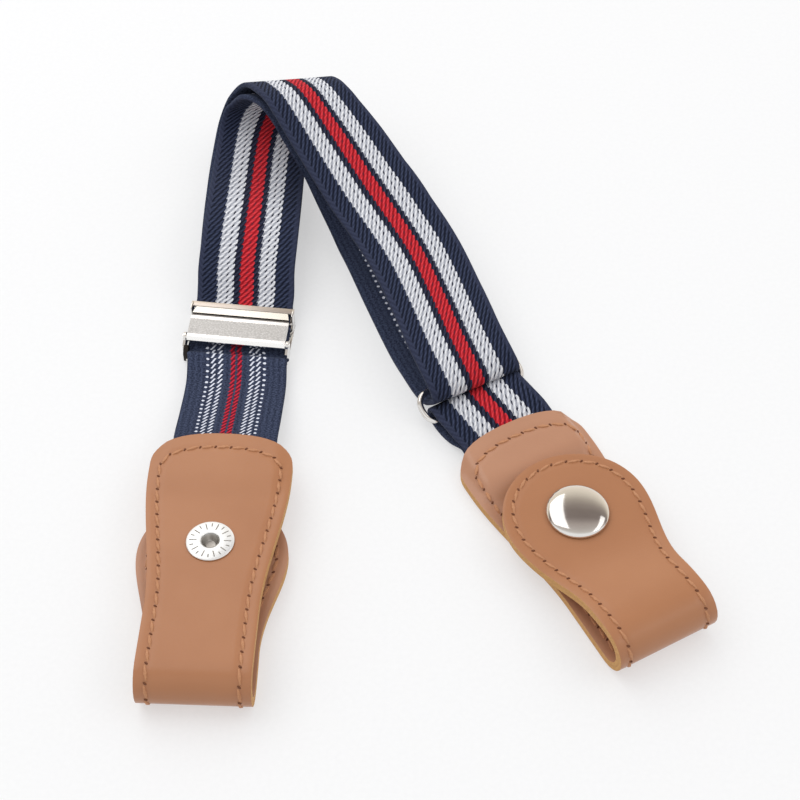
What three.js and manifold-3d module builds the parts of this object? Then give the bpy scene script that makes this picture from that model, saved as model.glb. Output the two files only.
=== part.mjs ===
// A child's elastic belt without a buckle, laid on a table in a narrow V, in millimetres, +Z up.
// One long band of striped webbing is doubled between a slide adjuster and an oval ring. A short
// loop of the same webbing joins the ring to the right leather tab, and the band's free end is
// sewn into the left one. Each tab folds round a trouser loop and closes with a snap.
import * as THREE from 'three';
import { mergeVertices } from 'three/addons/utils/BufferGeometryUtils.js';
import Module from 'manifold-3d';

const wasm = await Module();
wasm.setup();

const clearance = 0.3;
const layerGap = 0.3;

const webbing = { width: 25, thick: 1.4, sewnThick: 1.0, spacing: 2.6 };

// The tabs are measured from the snap: towards the head where the webbing is sewn in, and towards
// the fold. Heights start at the outer face of the base.
const leather = {
  thick: 2.1,
  ply: 0.9,
  headReach: 32,
  foldStart: 32.3,
  foldRadius: 4.95,
  flapReach: 17,
  snapGap: 3.2,
  snapHole: 2.25,
};
const headOutline = { wide: 16.9, tip: 9.5, roundness: 2.4, shoulderFrom: 12, shoulderTo: 50 };
const flapOutline = { wide: 17.5, tip: 17, roundness: 2, shoulderFrom: 17, shoulderTo: 41 };
const neckHalf = 12.75;
const pocket = { depth: 11.8, flatHalf: 12.9, closedHalf: 16.2, fadeLength: 8 };

const cap = { radius: 7.4, rim: 0.35, dome: 1.9, post: 1.6 };
const washer = { radius: 5.5, hole: 2.15, thick: 0.5, seat: 0.2 };
const snapSides = 28;

const ring = { length: 29.6, width: 9, wire: 0.78, corner: 3, sides: 10, steps: 56 };

const slider = {
  near: -9,
  far: 6.6,
  wall: 0.9,
  farWall: 0.5,
  plate: 0.8,
  ridge: 0.9,
  ridgeDepth: 0.9,
  innerHalf: 12.8,
  height: 6.4,
  barDepth: 2.4,
  topBarDepth: 0.9,
  earLength: 6.2,
  earHeight: 6.1,
};
const lever = {
  half: 12.55,
  thick: 0.7,
  barrel: 1,
  length: 9.6,
  tipRise: 0.35,
  corner: 0.8,
  cornerFrom: 6.6,
  axisAlong: -4.2,
  axisHeight: 4.9,
  pin: 0.65,
};

// Where the pieces lie on the table, and the way each one is turned, in degrees.
const leftTabPlace = { x: -43.2, y: -48.7, turn: -2.2 };
const rightTabPlace = { x: 41.2, y: -39.5, turn: 28.4 };
const ringPlace = { x: 17.6, y: 0.5, z: 4.24, turn: 31, pitch: 27 };
const sliderPlace = { x: -41, y: 19.3, turn: -6.5 };

// The long band after it leaves the left tab. Each row is one cross line of the webbing: its
// middle, the plan direction of the line and how far the line rises along it, in degrees.
const outerRun = [
  { x: -41.5, y: -8, z: 5.0, across: -2, rise: 0 },
  { x: -41.4, y: 3, z: 3.0, across: -4, rise: 0 },
];
const legOut = [
  { x: -40.4, y: 31, z: 1.1, across: -6, rise: 0 },
  { x: -40.9, y: 43, z: 0.74, across: -4, rise: 0 },
  { x: -41.0, y: 52, z: 0.7, across: -4, rise: 0 },
  { x: -41.0, y: 63, z: 0.74, across: -4, rise: 0 },
  { x: -40.7, y: 75, z: 1.1, across: -4, rise: 0 },
  { x: -40.0, y: 85, z: 1.9, across: -3, rise: -1 },
  { x: -38.3, y: 93, z: 5.0, across: 0, rise: -7 },
  { x: -35.1, y: 97, z: 12.0, across: 9, rise: -11 },
  { x: -31.3, y: 95.8, z: 19.5, across: 19, rise: -12 },
  { x: -27.6, y: 89.8, z: 23.5, across: 26, rise: -13 },
];
const overArch = [
  { x: -24.9, y: 85.3, z: 24.4, across: 28, rise: -13 },
  { x: -21.9, y: 80.6, z: 23.4, across: 28, rise: -11 },
  { x: -15.8, y: 70.9, z: 20.7, across: 28, rise: -4 },
  { x: -9.6, y: 60.3, z: 18.3, across: 28, rise: -1 },
  { x: -3, y: 49, z: 16.4, across: 28, rise: -1 },
  { x: 3.7, y: 36.6, z: 14.7, across: 28, rise: -3 },
  { x: 9.4, y: 22.5, z: 12.9, across: 29, rise: -5 },
  { x: 13.6, y: 10.8, z: 11.8, across: 30, rise: -5 },
  { x: 16.7, y: 3.5, z: 10.3, across: 31, rise: -5 },
  { x: 17.7, y: 1.4, z: 8.7, across: 31, rise: -5 },
  { x: 18, y: 0.7, z: 6.5, across: 31, rise: -4 },
  { x: 17.1, y: 2.1, z: 3.6, across: 31, rise: -2 },
  { x: 14.6, y: 7.1, z: 1.1, across: 28, rise: 0 },
  { x: 12, y: 12.4, z: 0.74, across: 26, rise: 0 },
];
const backUnder = [
  { x: 9.3, y: 18, z: 0.72, across: 24, rise: 0 },
  { x: 2.8, y: 34.8, z: 0.72, across: 22, rise: 0 },
  { x: -2.4, y: 49, z: 0.76, across: 22, rise: 0 },
  { x: -5, y: 55.4, z: 1, across: 22, rise: 0 },
  { x: -7.2, y: 60.8, z: 2.0, across: 23, rise: 0 },
  { x: -11.1, y: 68.5, z: 5.4, across: 24, rise: 0 },
  { x: -15.1, y: 75.5, z: 10.2, across: 25, rise: 0 },
  { x: -19.8, y: 81.5, z: 15.6, across: 25, rise: -3 },
  { x: -25.0, y: 87.3, z: 20.2, across: 25, rise: -10 },
  { x: -31.0, y: 93.3, z: 17.8, across: 18, rise: -10 },
  { x: -34.8, y: 94, z: 11.6, across: 8, rise: -9 },
  { x: -37.3, y: 89.4, z: 7.6, across: 1, rise: -4 },
  { x: -38.3, y: 82, z: 6.3, across: -2, rise: -1 },
  { x: -38.7, y: 70, z: 7.2, across: -3, rise: -2 },
  { x: -38.8, y: 58, z: 9.8, across: -3, rise: -2 },
  { x: -39.2, y: 46, z: 10.6, across: -3, rise: -2 },
  { x: -39.8, y: 36, z: 8.4, across: -4, rise: -1 },
];

const tan = 0xbc8564;
const steel = { color: 0xc9c8c6, roughness: 0.22, metalness: 1 };
const finishes = {
  webbing: { color: 0x2c3352, roughness: 0.9, metalness: 0 },
  leather: { color: tan, roughness: 0.5, metalness: 0 },
};

const belt = new THREE.Group();

function addPiece(parent, name, geometry, finish) {
  const piece = new THREE.Mesh(geometry, new THREE.MeshStandardMaterial(finish));
  piece.name = name;
  parent.add(piece);
  return piece;
}

// Joining and cutting works on bare closed meshes whose shared corners are merged.
function toSolid(geometry) {
  const bare = new THREE.BufferGeometry();
  bare.setAttribute('position', geometry.attributes.position.clone());
  if (geometry.index) bare.setIndex(geometry.index.clone());
  const merged = mergeVertices(bare, 1e-4);
  return new wasm.Manifold(new wasm.Mesh({
    numProp: 3,
    vertProperties: new Float32Array(merged.attributes.position.array),
    triVerts: new Uint32Array(merged.index.array),
  }));
}

function toGeometry(solid) {
  const mesh = solid.getMesh();
  const geometry = new THREE.BufferGeometry();
  geometry.setAttribute('position', new THREE.BufferAttribute(mesh.vertProperties, 3));
  geometry.setIndex(new THREE.BufferAttribute(mesh.triVerts, 1));
  return geometry;
}

// A strip as one closed body, lofted through its sections. A section has its middle, the unit
// direction across it, the unit direction out of its front, its half width, and how far the
// front and the back stand from the middle at a place from -1 at one edge to 1 at the other.
function stripGeometry(sections, places) {
  const positions = [];
  for (const section of sections) {
    for (const side of [1, -1]) {
      for (const place of places) {
        const reach = side > 0 ? section.front(place) : -section.back(place);
        positions.push(...section.middle.clone()
          .addScaledVector(section.across, place * section.half)
          .addScaledVector(section.out, reach)
          .toArray());
      }
    }
  }
  const index = [];
  const columns = places.length;
  const at = (row, side, column) => (row * 2 + side) * columns + column;
  const quad = (a, b, c, d) => index.push(a, b, c, a, c, d);
  const lastRow = sections.length - 1;
  const lastColumn = columns - 1;
  for (let row = 0; row < lastRow; row += 1) {
    for (let column = 0; column < lastColumn; column += 1) {
      quad(at(row, 0, column), at(row, 0, column + 1),
        at(row + 1, 0, column + 1), at(row + 1, 0, column));
      quad(at(row, 1, column + 1), at(row, 1, column),
        at(row + 1, 1, column), at(row + 1, 1, column + 1));
    }
    quad(at(row, 0, lastColumn), at(row, 1, lastColumn),
      at(row + 1, 1, lastColumn), at(row + 1, 0, lastColumn));
    quad(at(row, 1, 0), at(row, 0, 0), at(row + 1, 0, 0), at(row + 1, 1, 0));
  }
  for (let column = 0; column < lastColumn; column += 1) {
    quad(at(0, 1, column), at(0, 1, column + 1), at(0, 0, column + 1), at(0, 0, column));
    quad(at(lastRow, 0, column), at(lastRow, 0, column + 1),
      at(lastRow, 1, column + 1), at(lastRow, 1, column));
  }
  const geometry = new THREE.BufferGeometry();
  geometry.setAttribute('position', new THREE.Float32BufferAttribute(positions, 3));
  geometry.setIndex(index);
  return geometry;
}

function crossLine({ across, rise }) {
  const [turn, lift] = [across, rise].map(THREE.MathUtils.degToRad);
  return new THREE.Vector3(
    Math.cos(lift) * Math.cos(turn), Math.cos(lift) * Math.sin(turn), Math.sin(lift));
}

// Webbing laid along rows of cross lines, with smooth curves between them.
function webbingGeometry(rows) {
  const middles = rows.map(({ x, y, z }) => new THREE.Vector3(x, y, z));
  const path = new THREE.CatmullRomCurve3(middles, false, 'centripetal');
  const crossPath = new THREE.CatmullRomCurve3(rows.map(crossLine), false, 'centripetal');
  const spans = rows.length - 1;
  const sections = [];
  for (let span = 0; span < spans; span += 1) {
    const length = middles[span].distanceTo(middles[span + 1]);
    const steps = Math.max(2, Math.ceil(length / webbing.spacing));
    const last = span === spans - 1 ? 1 : 0;
    for (let step = 0; step < steps + last; step += 1) {
      const share = step / steps;
      const place = (span + share) / spans;
      const along = path.getTangent(place);
      const across = crossPath.getPoint(place).normalize();
      const out = across.clone().cross(along).normalize();
      const skew = Math.sqrt(1 - across.dot(along) ** 2);
      const thick = THREE.MathUtils.lerp(
        rows[span].thick ?? webbing.thick, rows[span + 1].thick ?? webbing.thick, share);
      sections.push({
        middle: path.getPoint(place), across, out,
        half: webbing.width / 2 / skew,
        front: () => thick / 2,
        back: () => thick / 2,
      });
    }
  }
  return stripGeometry(sections, [-1, 0, 1]);
}

// The middle of the leather's thickness in side view, from the head round the fold to the flap's
// tip, as distance from the snap towards the head and height above the base's outer face.
function leatherSide() {
  const base = leather.thick / 2;
  const top = base + 2 * leather.foldRadius;
  const onSnap = leather.thick * 1.5 + leather.snapGap;
  const side = new THREE.Path();
  side.moveTo(leather.headReach, base);
  side.lineTo(-leather.foldStart, base);
  side.absarc(-leather.foldStart, base + leather.foldRadius, leather.foldRadius,
    -Math.PI / 2, -Math.PI * 1.5, true);
  side.bezierCurveTo(-23, top, -19, onSnap, -8, onSnap);
  side.lineTo(8, onSnap);
  side.lineTo(leather.flapReach, onSnap - 0.4);
  return side;
}

// Half the leather's width at a distance from its round end: a blunt tip, then a shoulder that
// narrows to the neck.
function outlineHalf(distance, outline) {
  const { wide, tip, roundness, shoulderFrom, shoulderTo } = outline;
  if (distance < tip) {
    const rest = (tip - distance) / tip;
    return wide * (1 - rest ** roundness) ** (1 / roundness);
  }
  const taper = THREE.MathUtils.smoothstep(distance, shoulderFrom, shoulderTo);
  return THREE.MathUtils.lerp(wide, neckHalf, taper);
}

// A tab's leather: head and base, fold and flap in one strip. The head swells over the webbing
// sewn between its plies, by swellOut on the outer face and swellIn on the inner one.
function leatherGeometry({ swellOut, swellIn }) {
  const side = leatherSide();
  const length = side.getLength();
  const tipRows = [0.3, 1.1, 2.4, 4.2, 6.4, 9];
  const middleRows = 34;
  const headEnd = tipRows.at(-1);
  const distances = [
    ...tipRows,
    ...Array.from({ length: middleRows }, (_, row) =>
      headEnd + (length - 2 * headEnd) * (row + 1) / (middleRows + 1)),
    ...tipRows.toReversed().map((distance) => length - distance),
  ];
  const half = leather.thick / 2;
  const acrossTab = new THREE.Vector3(1, 0, 0);
  const { smoothstep } = THREE.MathUtils;
  const sections = distances.map((distance) => {
    const point = side.getPointAt(distance / length);
    const tangent = side.getTangentAt(distance / length);
    const along = new THREE.Vector3(0, tangent.x, tangent.y);
    const width = distance < length / 2
      ? outlineHalf(distance, headOutline)
      : outlineHalf(length - distance, flapOutline);
    const fade = 1 - smoothstep(distance, pocket.depth, pocket.depth + pocket.fadeLength);
    const swell = (place) => fade
      * (1 - smoothstep(Math.abs(place) * width, pocket.flatHalf, pocket.closedHalf));
    return {
      middle: new THREE.Vector3(0, point.x, point.y),
      across: acrossTab,
      out: acrossTab.clone().cross(along).normalize(),
      half: width,
      front: (place) => half + swellOut * swell(place),
      back: (place) => half + swellIn * swell(place),
    };
  });
  return stripGeometry(sections, [-1, -0.93, -0.77, -0.4, 0, 0.4, 0.77, 0.93, 1]);
}

function lathe(profile) {
  const points = profile.map(([radius, height]) => new THREE.Vector2(radius, height));
  return new THREE.LatheGeometry(points, snapSides).rotateX(Math.PI / 2);
}

// The domed cap on the flap, with its post through the leather into the socket.
function capGeometry(seat, postEnd) {
  const arc = [0, 0.25, 0.5, 0.75, 1].map((share) => {
    const angle = share * Math.PI / 2;
    return [cap.radius * Math.cos(angle), seat + cap.rim + cap.dome * Math.sin(angle)];
  });
  arc[arc.length - 1][0] = 0;
  return lathe([[0, postEnd], [cap.post, postEnd], [cap.post, seat],
    [cap.radius - 0.4, seat], ...arc]);
}

function socketGeometry(low, high) {
  return lathe([[2.45, low], [4.2, low], [4.3, high - 0.6], [5.3, high - 0.5], [5.3, high],
    [1.95, high], [1.95, high - 0.35], [2.45, high - 0.6], [2.45, low]]);
}

// The stud under the socket, whose hollow shank goes through the base and the washer.
function studGeometry(shankEnd, seat) {
  return lathe([[0, 1.2], [1.5, 1.2], [1.5, shankEnd], [1.95, shankEnd], [1.95, seat],
    [4.8, seat], [4.8, seat + 0.4], [1.7, seat + 0.5], [2.05, seat + 1.2],
    [1.7, seat + 1.8], [0, seat + 1.8]]);
}

function washerGeometry() {
  const top = -washer.seat;
  const bottom = top - washer.thick;
  const ridge = (washer.radius + washer.hole) / 2;
  return lathe([[washer.hole, top], [washer.hole, bottom + 0.1], [washer.hole + 0.5, bottom],
    [ridge, bottom + 0.2], [washer.radius - 0.4, bottom + 0.1], [washer.radius, top],
    [washer.hole, top]]);
}

// A whole tab lying on its base: leather, and the snap's four metal pieces at its middle.
function buildTab(side, { layers, swellOut, swellIn }) {
  const tab = new THREE.Group();
  const drill = new THREE.CylinderGeometry(leather.snapHole, leather.snapHole, 30, 20)
    .rotateX(Math.PI / 2);
  const pocketThick = layers * webbing.sewnThick + (layers - 1) * layerGap + 2 * clearance;
  const pocketMiddle = leather.ply + pocketThick / 2 - swellOut;
  const sewnIn = new THREE.BoxGeometry(
    webbing.width + 2 * clearance, pocket.depth + 2, pocketThick)
    .translate(0, leather.headReach - pocket.depth / 2 + 1, pocketMiddle);
  const solid = toSolid(leatherGeometry({ swellOut, swellIn }))
    .subtract(toSolid(drill))
    .subtract(toSolid(sewnIn));
  addPiece(tab, `${side}_tab_leather`, toGeometry(solid), finishes.leather);

  const flapInner = leather.thick + leather.snapGap;
  const capSeat = flapInner + leather.thick + 0.2;
  const socketTop = flapInner - 0.25;
  const studSeat = leather.thick + 0.25;
  addPiece(tab, `${side}_snap_cap`, capGeometry(capSeat, socketTop - 0.3), steel);
  addPiece(tab, `${side}_snap_socket`, socketGeometry(studSeat + 0.75, socketTop), steel);
  addPiece(tab, `${side}_snap_stud`, studGeometry(-washer.seat - washer.thick, studSeat), steel);
  addPiece(tab, `${side}_stud_washer`, washerGeometry(), steel);
  return tab;
}

// Lets a group down, or up, until its lowest point is on the table.
function settle(group) {
  group.position.z -= new THREE.Box3().setFromObject(group, true).min.z;
  group.updateMatrixWorld(true);
}

const { degToRad } = THREE.MathUtils;

// The right tab lies on its base. The left one is turned over, so its cap and its fold carry it.
const rightTab = buildTab('right', { layers: 2, swellOut: 0, swellIn: 2.6 });
rightTab.position.set(rightTabPlace.x, rightTabPlace.y, 0);
rightTab.rotation.z = degToRad(rightTabPlace.turn);
settle(rightTab);

const leftTab = new THREE.Group();
const leftTurned = buildTab('left', { layers: 1, swellOut: 0.65, swellIn: 0.65 });
leftTurned.rotation.y = Math.PI;
const foldDepth = leather.thick + 2 * leather.foldRadius;
const capDepth = 2 * leather.thick + leather.snapGap + 0.2 + cap.rim + cap.dome;
const leftPitch = new THREE.Group();
leftPitch.rotation.x = -Math.atan2(foldDepth - capDepth, leather.foldStart);
leftPitch.add(leftTurned);
leftTab.add(leftPitch);
leftTab.position.set(leftTabPlace.x, leftTabPlace.y, 0);
leftTab.rotation.z = degToRad(leftTabPlace.turn);
settle(leftTab);

belt.add(leftTab, rightTab);

// The cross lines of webbing sewn into a tab's head at a height, from its sewn end outwards.
function rowsInTab(tab, turned, height) {
  const reaches = [pocket.depth - 0.6, pocket.depth / 2, 2, -0.6];
  return reaches.map((depth) => {
    const { x, y, z } = new THREE.Vector3(0, leather.headReach - depth, height)
      .applyMatrix4(turned.matrixWorld);
    const across = THREE.MathUtils.radToDeg(tab.rotation.z);
    return { x, y, z, across, rise: 0, thick: webbing.sewnThick };
  });
}

// The slide adjuster stands across the band. Its own frame has the band along +Y.
const adjuster = new THREE.Group();
adjuster.position.set(sliderPlace.x, sliderPlace.y, 0);
adjuster.rotation.z = degToRad(sliderPlace.turn);
adjuster.updateMatrixWorld(true);

function rowInSlider(along, height) {
  const { x, y } = new THREE.Vector3(0, along, 0).applyMatrix4(adjuster.matrixWorld);
  return { x, y, z: height, across: sliderPlace.turn, rise: 0 };
}

const onPlate = slider.plate + clearance + webbing.thick / 2;
const innerBar = { low: onPlate + webbing.thick / 2 + clearance, thick: 0.6 };
const anchored = innerBar.low + innerBar.thick + clearance + webbing.thick / 2;

const longBand = [
  ...rowsInTab(leftTab, leftTurned, leather.thick / 2),
  ...outerRun,
  rowInSlider(slider.near + slider.ridgeDepth / 2, onPlate + slider.ridge + 0.05),
  rowInSlider(slider.near + 3.4, onPlate + 0.15),
  rowInSlider(0, onPlate),
  rowInSlider(slider.far, onPlate),
  ...legOut,
  ...overArch,
  ...backUnder,
  rowInSlider(slider.far + 4, anchored + 1.2),
  rowInSlider(slider.far, anchored),
  rowInSlider(slider.far - slider.barDepth, anchored),
];
addPiece(belt, 'long_elastic_band', webbingGeometry(longBand), finishes.webbing);

// The short loop goes from the right head round the ring's near bar and back below itself.
const lowLayer = leather.ply + clearance + webbing.sewnThick / 2;
const highLayer = lowLayer + webbing.sewnThick + layerGap;
const shortLoop = [
  ...rowsInTab(rightTab, rightTab, highLayer),
  { x: 22.3, y: -6.6, z: 4.6, across: 31, rise: 0 },
  { x: 19.9, y: -3.4, z: 4.8, across: 31, rise: 0 },
  { x: 18.5, y: -1, z: 4.2, across: 31, rise: 0 },
  { x: 17.9, y: -0.1, z: 2.8, across: 31, rise: 0 },
  { x: 18.5, y: -1, z: 1.1, across: 31, rise: 0 },
  { x: 20.1, y: -3.8, z: 0.72, across: 31, rise: 0 },
  { x: 22.4, y: -6.9, z: 1.1, across: 31, rise: 0 },
  ...rowsInTab(rightTab, rightTab, lowLayer).toReversed(),
];
addPiece(belt, 'short_elastic_loop', webbingGeometry(shortLoop), finishes.webbing);

// The oval ring is one round wire, welded into a long loop with rounded ends.
function ringGeometry() {
  const long = ring.length / 2 - ring.wire;
  const short = ring.width / 2 - ring.wire;
  const { corner } = ring;
  const outline = new THREE.Path();
  outline.moveTo(corner - long, -short);
  outline.lineTo(long - corner, -short);
  outline.absarc(long - corner, corner - short, corner, -Math.PI / 2, 0, false);
  outline.lineTo(long, short - corner);
  outline.absarc(long - corner, short - corner, corner, 0, Math.PI / 2, false);
  outline.lineTo(corner - long, short);
  outline.absarc(corner - long, short - corner, corner, Math.PI / 2, Math.PI, false);
  outline.lineTo(-long, corner - short);
  outline.absarc(corner - long, corner - short, corner, Math.PI, Math.PI * 1.5, false);
  const points = outline.getSpacedPoints(ring.steps).slice(0, -1);
  const wire = new THREE.CatmullRomCurve3(
    points.map(({ x, y }) => new THREE.Vector3(x, y, 0)), true);
  return toGeometry(toSolid(
    new THREE.TubeGeometry(wire, ring.steps, ring.wire, ring.sides, true)));
}

const ringPiece = addPiece(belt, 'oval_ring', ringGeometry(), steel);
ringPiece.position.set(ringPlace.x, ringPlace.y, ringPlace.z);
ringPiece.rotation.set(degToRad(ringPlace.pitch), 0, degToRad(ringPlace.turn), 'ZYX');

function block(width, depth, height, x, y, z) {
  return toSolid(new THREE.BoxGeometry(width, depth, height)
    .translate(x, y + depth / 2, z + height / 2));
}

// A side outline, drawn with the band's direction first and height second, pushed out sideways.
function pushSideways(shape, from, to) {
  const geometry = new THREE.ExtrudeGeometry(
    shape, { depth: to - from, bevelEnabled: false, curveSegments: 10 });
  return geometry.rotateX(Math.PI / 2).rotateZ(Math.PI / 2).translate(from, 0, 0);
}

// The adjuster's frame: a plate below the band with a ridge at its near edge, two ears that
// carry the lever, and at the far end two bars that hold the band's returning end between them.
function frameGeometry() {
  const outerHalf = slider.innerHalf + slider.wall;
  const farWidth = 2 * (slider.innerHalf + slider.farWall);
  const length = slider.far - slider.near;
  const barFrom = slider.far - slider.barDepth;
  const topBar = anchored + webbing.thick / 2 + clearance;
  let frame = block(farWidth, length, slider.plate, 0, slider.near, 0)
    .subtract(block(20, 4.6, 2, 0, -1.6, -0.5))
    .add(block(2 * slider.innerHalf - 1, slider.ridgeDepth, slider.ridge, 0,
      slider.near, slider.plate))
    .add(block(farWidth, slider.barDepth, innerBar.thick, 0, barFrom, innerBar.low))
    .add(block(farWidth, slider.topBarDepth, slider.height - topBar, 0,
      slider.far - slider.topBarDepth, topBar));
  for (const side of [-1, 1]) {
    const post = side * (slider.innerHalf + slider.farWall / 2);
    frame = frame.add(block(slider.farWall, slider.barDepth, slider.height, post, barFrom, 0));
    const ear = new THREE.Shape();
    ear.moveTo(slider.near, 0);
    ear.lineTo(slider.near + slider.earLength, 0);
    ear.lineTo(slider.near + slider.earLength, lever.axisHeight);
    ear.absarc(lever.axisAlong, lever.axisHeight, slider.earHeight - lever.axisHeight,
      0, Math.PI, false);
    ear.lineTo(slider.near, 2.4);
    ear.closePath();
    const pivot = new THREE.Path();
    pivot.absarc(lever.axisAlong, lever.axisHeight, lever.pin + 0.1, 0, Math.PI * 2, true);
    ear.holes.push(pivot);
    const from = side > 0 ? slider.innerHalf : -outerHalf;
    frame = frame.add(toSolid(pushSideways(ear, from, from + slider.wall)));
  }
  return toGeometry(frame);
}

// The lever: a flat plate that curls into a barrel at its hinge. A groove runs across it, and
// past the groove it slopes down to a tip with cut corners.
function leverGeometry() {
  const { half, barrel, thick, length, tipRise, corner, cornerFrom, axisAlong, axisHeight } = lever;
  const underside = barrel - thick;
  const meet = Math.sqrt(barrel ** 2 - underside ** 2);
  const tipUnder = underside + tipRise;
  const outline = new THREE.Shape();
  outline.absarc(0, 0, barrel, Math.PI / 2, Math.PI * 2 + Math.asin(underside / barrel), false);
  outline.lineTo(meet, underside);
  outline.lineTo(length - 0.15, tipUnder);
  outline.lineTo(length, tipUnder + 0.35);
  outline.lineTo(length - 0.2, tipUnder + 0.55);
  outline.lineTo(6.85, barrel + 0.45);
  outline.lineTo(6.65, barrel + 0.15);
  outline.lineTo(6.45, barrel + 0.4);
  outline.lineTo(5.1, barrel + tipRise);
  outline.closePath();
  const plan = new THREE.Shape();
  plan.moveTo(-half, -2 * barrel);
  plan.lineTo(half, -2 * barrel);
  plan.lineTo(half, cornerFrom);
  plan.lineTo(half - corner, length + 0.1);
  plan.lineTo(corner - half, length + 0.1);
  plan.lineTo(-half, cornerFrom);
  plan.closePath();
  const outside = new THREE.ExtrudeGeometry(plan, { depth: 8, bevelEnabled: false })
    .translate(0, 0, -4);
  const pinLength = 2 * (slider.innerHalf + slider.wall);
  const pins = new THREE.CylinderGeometry(lever.pin, lever.pin, pinLength, 16)
    .rotateZ(Math.PI / 2);
  const plate = toSolid(pushSideways(outline, -half, half)).intersect(toSolid(outside));
  return toGeometry(plate.add(toSolid(pins))).translate(0, axisAlong, axisHeight);
}

addPiece(adjuster, 'slider_frame', frameGeometry(), steel);
addPiece(adjuster, 'slider_lever', leverGeometry(), steel);
belt.add(adjuster);

// The whole belt is moved so that the middle of its footprint on the table is the origin.
belt.updateMatrixWorld(true);
const reach = new THREE.Box3().setFromObject(belt, true);
const middle = reach.getCenter(new THREE.Vector3());
const laidOut = new THREE.Group();
laidOut.add(belt);
belt.position.set(-middle.x, -middle.y, -reach.min.z);
laidOut.updateMatrixWorld(true);

export default laidOut;
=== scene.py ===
import bisect
import math

import bmesh
import bpy
from mathutils import Matrix, Vector, kdtree


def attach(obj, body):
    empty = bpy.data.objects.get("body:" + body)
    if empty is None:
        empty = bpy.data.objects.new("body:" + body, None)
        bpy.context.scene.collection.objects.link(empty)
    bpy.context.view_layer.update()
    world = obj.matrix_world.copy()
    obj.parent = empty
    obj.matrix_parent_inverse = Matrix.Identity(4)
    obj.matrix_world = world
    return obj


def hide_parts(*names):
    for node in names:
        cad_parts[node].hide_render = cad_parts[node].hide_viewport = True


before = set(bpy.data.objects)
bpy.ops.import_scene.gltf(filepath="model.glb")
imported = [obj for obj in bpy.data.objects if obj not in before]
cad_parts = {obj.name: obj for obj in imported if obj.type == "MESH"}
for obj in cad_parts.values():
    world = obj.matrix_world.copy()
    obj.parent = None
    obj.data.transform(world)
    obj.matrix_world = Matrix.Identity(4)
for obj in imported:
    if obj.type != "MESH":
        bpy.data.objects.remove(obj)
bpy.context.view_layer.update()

# The camera
# The photograph looks down on the belt from 52 degrees above the table, from a little over
# 40 cm away and straight along the table.
look_down = math.radians(52)
camera_distance = 0.425
camera_aim = Vector((-0.004945, -0.006493, 0.000005))
camera_data = bpy.data.cameras.new("photo_camera")
camera_data.lens = 76.5
camera_data.sensor_width = 36
camera = bpy.data.objects.new("photo_camera", camera_data)
camera_side = Vector((0, -math.cos(look_down), math.sin(look_down)))
camera.location = camera_aim + camera_side * camera_distance
camera.rotation_euler = (math.pi / 2 - look_down, 0, 0)
bpy.context.collection.objects.link(camera)
bpy.context.scene.camera = camera

# The table and the light
# A pale table that glows a little, in a white studio: soft light from all round that fades
# towards the horizon, a large soft panel over the left side and a small one over the right.
bpy.context.scene.view_settings.view_transform = "Standard"


def dye(red, green, blue):
    """A colour as the eye reads it, from 0 to 255, turned into the light a shader wants."""
    seen = [channel / 255 for channel in (red, green, blue)]
    light = [c / 12.92 if c < 0.04045 else ((c + 0.055) / 1.055) ** 2.4 for c in seen]
    return (*light, 1)


def start_material(name, roughness, metallic=0.0):
    material = bpy.data.materials.new(name)
    material.use_nodes = True
    shader = material.node_tree.nodes["Principled BSDF"]
    shader.inputs["Roughness"].default_value = roughness
    shader.inputs["Metallic"].default_value = metallic
    return material, material.node_tree, shader


def noise(tree, where, scale, detail=2.0):
    node = tree.nodes.new("ShaderNodeTexNoise")
    node.inputs["Scale"].default_value = scale
    node.inputs["Detail"].default_value = detail
    tree.links.new(where, node.inputs["Vector"])
    return node.outputs["Fac"]


def ramp(tree, value, stops, steps=False):
    """Colours along a value from 0 to 1; with steps, each holds until the next."""
    node = tree.nodes.new("ShaderNodeValToRGB")
    band = node.color_ramp
    band.interpolation = "CONSTANT" if steps else "LINEAR"
    band.elements[0].position, band.elements[0].color = stops[0]
    band.elements[1].position, band.elements[1].color = stops[1]
    for position, colour in stops[2:]:
        band.elements.new(position).color = colour
    tree.links.new(value, node.inputs["Fac"])
    return node.outputs["Color"]


table_material, tree, shader = start_material("pale_table", 0.7)
on_table = tree.nodes.new("ShaderNodeTexCoord").outputs["Object"]
table_grain = noise(tree, on_table, 900)
table_colour = ramp(tree, table_grain, [(0.3, dye(170, 170, 170)), (0.7, dye(173, 173, 173))])
shader.inputs["Emission Color"].default_value = dye(255, 255, 255)
shader.inputs["Emission Strength"].default_value = 0.5
tree.links.new(table_colour, shader.inputs["Base Color"])

shape = bmesh.new()
bmesh.ops.create_grid(shape, x_segments=2, y_segments=2, size=3)
mesh = bpy.data.meshes.new("table")
shape.to_mesh(mesh)
shape.free()
mesh.materials.append(table_material)
table = bpy.data.objects.new("table", mesh)
bpy.context.collection.objects.link(table)


def soft_panel(name, place, size, power):
    """A rectangle of soft light that hangs level and faces down."""
    light = bpy.data.lights.new(name, "AREA")
    light.shape = "RECTANGLE"
    light.size, light.size_y = size
    light.energy = power
    lamp = bpy.data.objects.new(name, light)
    lamp.location = place
    bpy.context.collection.objects.link(lamp)


soft_panel("left_panel", (-0.56, 0.6, 0.9), (0.9, 1.4), 4.9)
soft_panel("right_panel", (0.95, -0.05, 0.9), (0.6, 0.9), 1.8)


def maths(tree, operation, *values):
    node = tree.nodes.new("ShaderNodeMath")
    node.operation = operation
    for socket, value in zip(node.inputs, values):
        if isinstance(value, (int, float)):
            socket.default_value = value
        else:
            tree.links.new(value, socket)
    return node.outputs[0]


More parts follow.
